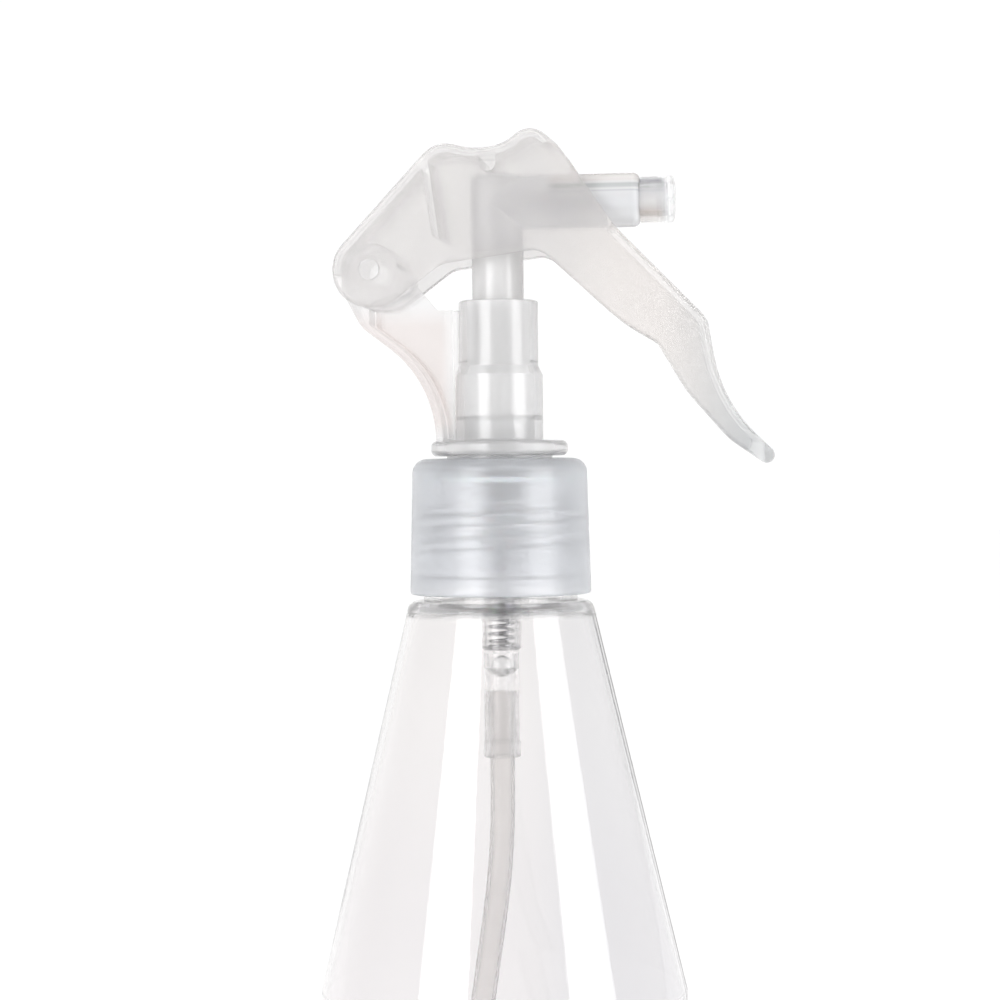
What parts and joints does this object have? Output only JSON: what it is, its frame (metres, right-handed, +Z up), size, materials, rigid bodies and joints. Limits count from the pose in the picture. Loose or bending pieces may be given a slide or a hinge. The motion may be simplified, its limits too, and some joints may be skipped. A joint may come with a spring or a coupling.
{
  "type": "spray bottle",
  "caption": "Clear conical spray bottle with a milky mini trigger sprayer, screw closure, pump, dip tube and clear turning nozzle.",
  "frame": {"origin": "middle of the bottle's standing ring, on the surface it stands on", "axes": "+Z up along the bottle's axis, +X the way the nozzle points"},
  "size_m": [0.0828, 0.0664, 0.2031],
  "materials": {
    "clear_bottle": "clear glossy PET",
    "milky_plastic": "natural polypropylene, translucent, semi-gloss",
    "clear_pump": "clear polypropylene",
    "milky_tube": "natural polyethylene, translucent",
    "white_plastic": "white polyethylene",
    "gasket_foam": "foamed polyethylene",
    "steel": "drawn stainless wire",
    "glass": "polished glass bead"
  },
  "bodies": {
    "root": {"bottle": "clear_bottle"},
    "sprayer": {"bracket": "milky_plastic", "pump_collar": "milky_plastic", "pump_housing": "clear_pump", "neck_gasket": "gasket_foam", "dip_tube": "milky_tube"},
    "screw_closure": {"closure": "milky_plastic"},
    "valve_ball": {"inlet_ball": "glass"},
    "plunger": {"actuator": "milky_plastic", "stem": "milky_plastic", "piston": "white_plastic", "stem_plug": "white_plastic", "return_spring": "steel", "swirl_core": "white_plastic"},
    "tip": {"nozzle_tip": "clear_pump"},
    "lever": {"trigger_lever": "milky_plastic"}
  },
  "joints": [
    {"name": "sprayer_lift", "type": "slide", "parent": "root", "child": "sprayer", "axis": [0, 0, 1], "range_m": [0, 0.00636]},
    {"name": "closure_unscrew", "type": "hinge", "parent": "sprayer", "child": "screw_closure", "pos_m": [0, 0, 0.12], "axis": [0, 0, 1], "range_deg": [0, 540]},
    {"name": "ball_lift", "type": "slide", "parent": "sprayer", "child": "valve_ball", "axis": [0, 0, 1], "range_m": [0, 0.0006]},
    {"name": "lever_squeeze", "type": "hinge", "parent": "sprayer", "child": "lever", "pos_m": [-0.0223, 0, 0.1786], "axis": [0, 1, 0], "range_deg": [0, 14], "stiffness_Nm_per_rad": 0.4, "springref_deg": -11.46},
    {"name": "pump_stroke", "type": "slide", "parent": "sprayer", "child": "plunger", "axis": [0, 0, -1], "range_m": [0, 0.00585], "stiffness_N_per_m": 15, "springref_m": -0.005, "deforming": ["return_spring"]},
    {"name": "tip_turn", "type": "hinge", "parent": "plunger", "child": "tip", "pos_m": [0.029, 0, 0.1908], "axis": [1, 0, 0], "range_deg": [0, 360]}
  ],
  "couplings": [
    {"joint": "sprayer_lift", "follows": "closure_unscrew", "m_per_rad": 0.0006737},
    {"joint": "pump_stroke", "follows": "lever_squeeze", "m_per_rad": 0.02374}
  ]
}
